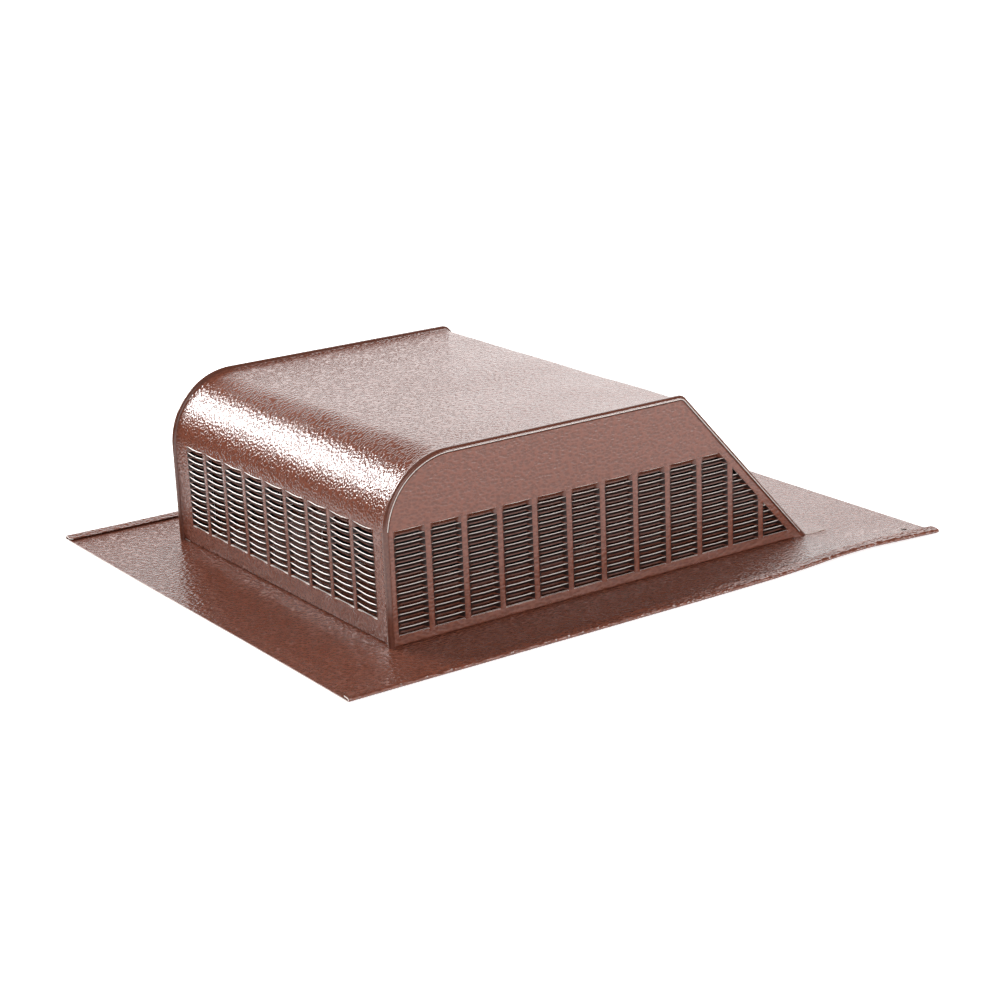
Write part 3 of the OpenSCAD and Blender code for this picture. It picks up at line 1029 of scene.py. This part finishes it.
    def bead(self, work, side, front, face):
        """Adds a thin bead along the seam's lower edge in the pale cut-edge colour, a painted highlight, and under it a
        dark bead, painted shade of the crease.
        """
        samples = side.rim()[:-1]
        proud = bpy.context.scene.roof_vent_hood.roll_proud / MM
        for depth, r, out, size, finish in ((2.45, 0.3, proud - 0.08, 8, EDGE), (3.0, 0.3, proud - 0.2, 6, PAINTED_SHADE)):
            points = []
            for p, z, op, oz in samples:
                for k in range(size):
                    a = 2 * math.pi * k / size
                    d = depth - r * math.sin(a)
                    x = face + out + r * math.cos(a) + 0.07 * ripple(p, z, 9.0, 8.8)
                    points.append((x * MM, (front + p - op * d) * MM, max(z - oz * d, side.deck) * MM))
            faces = []
            for k in range(len(samples) - 1):
                for i in range(size):
                    j = (i + 1) % size
                    faces.append((k * size + i, (k + 1) * size + i, (k + 1) * size + j, k * size + j))
            last = (len(samples) - 1) * size
            faces += [tuple(range(size)), tuple(last + i for i in reversed(range(size)))]
            # Where the seam faces up, from the nose on, the beads carry the painted highlight and the painted shade; on
            # the upright front both take the rolled enamel
            shown = [finish if samples[k][3] > 0.1 else ROLLED_SHADE for k in range(len(samples) - 1) for i in range(size)]
            work.add(points, faces, shown + [finish] * 2)


class ROOFVENT_OT_stage(bpy.types.Operator):
    """Sets the floor, the room light, the softboxes and the camera"""

    bl_idname = "roofvent.stage"
    bl_label = "Stage"

    def execute(self, context):
        stage = context.scene.roof_vent_stage
        self.floor(stage)
        self.room(context.scene, stage)
        self.softboxes(stage)
        self.camera(context.scene, stage)
        context.scene.view_settings.view_transform = "Standard"
        return {"FINISHED"}

    def floor(self, stage):
        """A matt white floor that stays white to the camera and keeps the vent's shadow."""
        mesh = bpy.data.meshes.new("studio_floor")
        mesh.from_pydata([(-9, -9, 0), (9, -9, 0), (9, 9, 0), (-9, 9, 0)], [], [(0, 1, 2, 3)])
        made, tree, output = new_material("matt_white_floor")
        paths = add_node(tree, "ShaderNodeLightPath")
        seen = add_node(
            tree, "ShaderNodeMath", {"operation": "MAXIMUM"},
            links={0: paths.outputs["Is Camera Ray"], 1: paths.outputs["Is Glossy Ray"]},
        )
        seen = add_node(
            tree, "ShaderNodeMath", {"operation": "MAXIMUM"},
            links={0: seen.outputs["Value"], 1: paths.outputs["Is Transmission Ray"]},
        )
        lift = add_node(tree, "ShaderNodeMath", {"operation": "MULTIPLY"}, {1: 0.75}, {0: seen.outputs["Value"]})
        glow = add_node(tree, "ShaderNodeEmission", links={"Strength": lift.outputs["Value"]})
        matt = add_node(tree, "ShaderNodeBsdfDiffuse", values={"Color": stage.floor})
        both = add_node(tree, "ShaderNodeAddShader", links={0: glow.outputs["Emission"], 1: matt.outputs["BSDF"]})
        tree.links.new(both.outputs["Shader"], output.inputs["Surface"])
        mesh.materials.append(made)
        piece = bpy.data.objects.new("studio_floor", mesh)
        piece.location = (0.0, 0.0, -0.0006)
        bpy.context.scene.collection.objects.link(piece)
        # Under the vent lies a black patch, painted shade, so that no light comes up through the throat and the nail
        # holes
        mesh = bpy.data.meshes.new("painted_shade_patch")
        mesh.from_pydata([
                (-0.15, -0.18, 0), (0.15, -0.18, 0), (0.15, 0.22, 0), (0.2, 0.22, 0),
                (0.2, 0.242, 0), (-0.2, 0.242, 0), (-0.2, 0.22, 0), (-0.15, 0.22, 0),
            ], [], [tuple(range(8))])
        mesh.materials.append(matt_coat("matt_black_painted_shade_and_flag", linear("#0d0c0b"), 0.9, 500.0))
        piece = bpy.data.objects.new("painted_shade_patch", mesh)
        piece.location = (0.0, 0.0, -0.0003)
        bpy.context.scene.collection.objects.link(piece)
        # A low black flag at the front left keeps the key softbox out of the flashing's mirror image in the hood's front
        across, mid = Vector((0.559, -0.829, 0.0)), Vector((-0.298, -0.381, 0.0))
        corners = [mid - across * 0.2, mid + across * 0.4]
        corners += [c + Vector((0.0, 0.0, 0.15)) for c in reversed(corners)]
        mesh = bpy.data.meshes.new("black_flag")
        mesh.from_pydata(corners, [], [(0, 1, 2, 3)])
        mesh.materials.append(bpy.data.materials["matt_black_painted_shade_and_flag"])
        piece = bpy.data.objects.new("black_flag", mesh)
        piece.visible_camera = piece.visible_diffuse = piece.visible_shadow = False
        bpy.context.scene.collection.objects.link(piece)

    def room(self, scene, stage):
        """A white room to the camera; reflections see its white walls and its dark ceiling."""
        world = bpy.data.worlds.new("studio_room")
        scene.world = world
        world.use_nodes = True
        tree = world.node_tree
        tree.nodes.clear()
        output = add_node(tree, "ShaderNodeOutputWorld")
        paths = add_node(tree, "ShaderNodeLightPath")
        way = add_node(tree, "ShaderNodeTexCoord")
        parts = add_node(tree, "ShaderNodeSeparateXYZ", links={"Vector": way.outputs["Generated"]})
        walls = add_node(
            tree, "ShaderNodeMapRange", {"interpolation_type": "SMOOTHSTEP"},
            {"From Min": 0.30, "From Max": 0.45, "To Min": 0.3, "To Max": 0.06}, {"Value": parts.outputs["Z"]},
        )
        glossy = add_node(
            tree, "ShaderNodeMath", {"operation": "MAXIMUM"},
            links={0: paths.outputs["Is Glossy Ray"], 1: paths.outputs["Is Transmission Ray"]},
        )
        even = add_node(tree, "ShaderNodeBackground", values={"Strength": stage.ambient})
        mirrored = add_node(tree, "ShaderNodeBackground", links={"Strength": walls.outputs["Result"]})
        white = add_node(tree, "ShaderNodeBackground", values={"Color": (1, 1, 1, 1), "Strength": 1.0})
        even.inputs["Color"].default_value = (1, 1, 1, 1)
        mirrored.inputs["Color"].default_value = (1, 1, 1, 1)
        lit = add_node(
            tree, "ShaderNodeMixShader",
            links={0: glossy.outputs["Value"], 1: even.outputs["Background"], 2: mirrored.outputs["Background"]},
        )
        whole = add_node(
            tree, "ShaderNodeMixShader",
            links={0: paths.outputs["Is Camera Ray"], 1: lit.outputs["Shader"], 2: white.outputs["Background"]},
        )
        tree.links.new(whole.outputs["Shader"], output.inputs["Surface"])

    def softboxes(self, stage):
        """Plain softboxes: left key, overhead, a broad one on the right, and a white panel behind on the left."""
        boxes = [
            ("key_softbox", stage.key, 1.1, 0.85, (-2.1, -1.0, 1.14), (0.0, -0.1, 0.1)),
            ("top_softbox", stage.top, 1.5, 1.0, (-0.1, -0.3, 1.6), (0.0, 0.0, 0.05)),
            ("front_softbox", stage.fill, 1.6, 1.3, (1.8, -0.95, 0.9), (0.0, 0.0, 0.05)),
            ("right_softbox", stage.right, 0.6, 0.5, (1.66, 1.06, 0.42), (0.0, 0.0, 0.05)),
            ("hair_softbox", stage.hair, 0.9, 0.8, (-0.72, 1.1, 1.15), (0.2, 0.15, 0.0)),
            ("rear_wall_panel", stage.rear, 2.4, 1.15, (-1.83, 1.21, 0.6), (0.0, 0.0, 0.3)),
        ]
        for name, power, wide, high, where, aim in boxes:
            lamp = bpy.data.lights.new(name, "AREA")
            lamp.shape = "RECTANGLE"
            lamp.size, lamp.size_y = wide, high
            lamp.energy = power
            piece = bpy.data.objects.new(name, lamp)
            piece.location = where
            piece.rotation_euler = (Vector(aim) - Vector(where)).to_track_quat("-Z", "Y").to_euler()
            piece.visible_camera = False
            bpy.context.scene.collection.objects.link(piece)

    def camera(self, scene, stage):
        """The camera where the photographer stood."""
        a, e, roll = stage.azimuth, stage.elevation, stage.roll
        back = Vector((math.sin(a) * math.cos(e), -math.cos(a) * math.cos(e), math.sin(e)))
        right = Vector((0, 0, 1)).cross(back).normalized()
        up = back.cross(right)
        across = right * math.cos(roll) + up * math.sin(roll)
        upward = up * math.cos(roll) - right * math.sin(roll)
        target = Vector((0.0, -33 * MM, 50.8 * MM))
        where = target + back * stage.distance + across * stage.aim_right + upward * stage.aim_down
        lens = bpy.data.cameras.new("photo_camera")
        lens.lens = stage.lens
        lens.sensor_width = 36.0
        lens.clip_start = 0.05
        lens.clip_end = 50.0
        piece = bpy.data.objects.new("photo_camera", lens)
        turn = Matrix((across, upward, back)).transposed().to_4x4()
        turn.translation = where
        piece.matrix_world = turn
        scene.collection.objects.link(piece)
        scene.camera = piece


class ROOFVENT_PT_sidebar(bpy.types.Panel):
    """Lists the vent's pieces in the 3D view's sidebar"""

    bl_idname = "ROOFVENT_PT_sidebar"
    bl_label = "Roof Vent"
    bl_space_type = "VIEW_3D"
    bl_region_type = "UI"
    bl_category = "Roof Vent"

    def draw(self, context):
        for operator in OPERATORS:
            self.layout.operator(operator.bl_idname)
        for name in GROUPS:
            group = getattr(context.scene, name)
            box = self.layout.box()
            for key in group.bl_rna.properties.keys():
                if key not in ("rna_type", "name"):
                    box.prop(group, key)


GROUPS = {
    "roof_vent_flashing": RoofVentFlashing,
    "roof_vent_hood": RoofVentHood,
    "roof_vent_louvres": RoofVentLouvres,
    "roof_vent_finish": RoofVentFinish,
    "roof_vent_stage": RoofVentStage,
}
OPERATORS = [ROOFVENT_OT_flashing, ROOFVENT_OT_hood_wrap, ROOFVENT_OT_side_panels, ROOFVENT_OT_stage]


def register():
    """Registers the property groups, the operators and the panel."""
    for name, group in GROUPS.items():
        bpy.utils.register_class(group)
        setattr(bpy.types.Scene, name, PointerProperty(type=group))
    for made in OPERATORS + [ROOFVENT_PT_sidebar]:
        bpy.utils.register_class(made)


def unregister():
    """Takes them out again."""
    for made in reversed(OPERATORS + [ROOFVENT_PT_sidebar]):
        bpy.utils.unregister_class(made)
    for name, group in reversed(list(GROUPS.items())):
        delattr(bpy.types.Scene, name)
        bpy.utils.unregister_class(group)


def main():
    """Builds the vent and its stage."""
    register()
    for call in (bpy.ops.roofvent.flashing, bpy.ops.roofvent.hood_wrap, bpy.ops.roofvent.side_panels, bpy.ops.roofvent.stage):
        if call() != {"FINISHED"}:
            raise RuntimeError("a piece of the vent wasn't finished")


if __name__ == "__main__":
    main()
